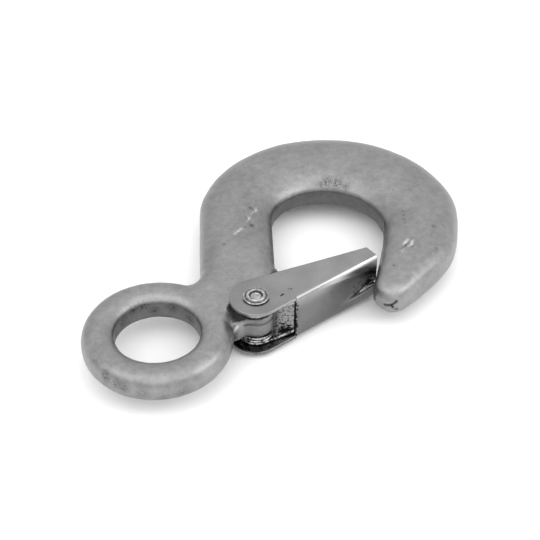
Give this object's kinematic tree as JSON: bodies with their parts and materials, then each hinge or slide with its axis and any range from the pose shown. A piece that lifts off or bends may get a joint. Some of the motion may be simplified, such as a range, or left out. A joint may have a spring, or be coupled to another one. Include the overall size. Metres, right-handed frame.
{
  "type": "eye hook with latch",
  "caption": "Forged eye hoist hook, flat ring eye at one end, deep round bowl and blunt point, with a spring-closed sheet latch pivoting on a rivet.",
  "frame": {"origin": "centre of the eye's bore, on the forging's parting plane", "axes": "+X from the eye towards the bowl, along the hook's length; +Y towards the back of the shank, with the point on the -Y side; +Z along the eye's bore"},
  "size_m": [0.1575, 0.0962, 0.0211],
  "materials": {
    "forged_steel": "blasted forging, satin, with small dark pits",
    "latch_steel": "tumbled stainless sheet, satin",
    "rivet_steel": "zinc plated, semi bright",
    "spring_wire": "drawn stainless spring wire"
  },
  "bodies": {
    "hook": {"hook_body": "forged_steel", "latch_spring": "spring_wire"},
    "latch_gate": {"latch": "latch_steel", "pivot_rivet": "rivet_steel"}
  },
  "joints": [
    {"name": "latch_swing", "type": "hinge", "parent": "hook", "child": "latch_gate", "pos_m": [0.0315, -0.014, 0], "axis": [0, 0, 1], "range_deg": [0, 50], "stiffness_Nm_per_rad": 0.15, "springref_deg": -45.84, "deforming": ["latch_spring"]}
  ]
}
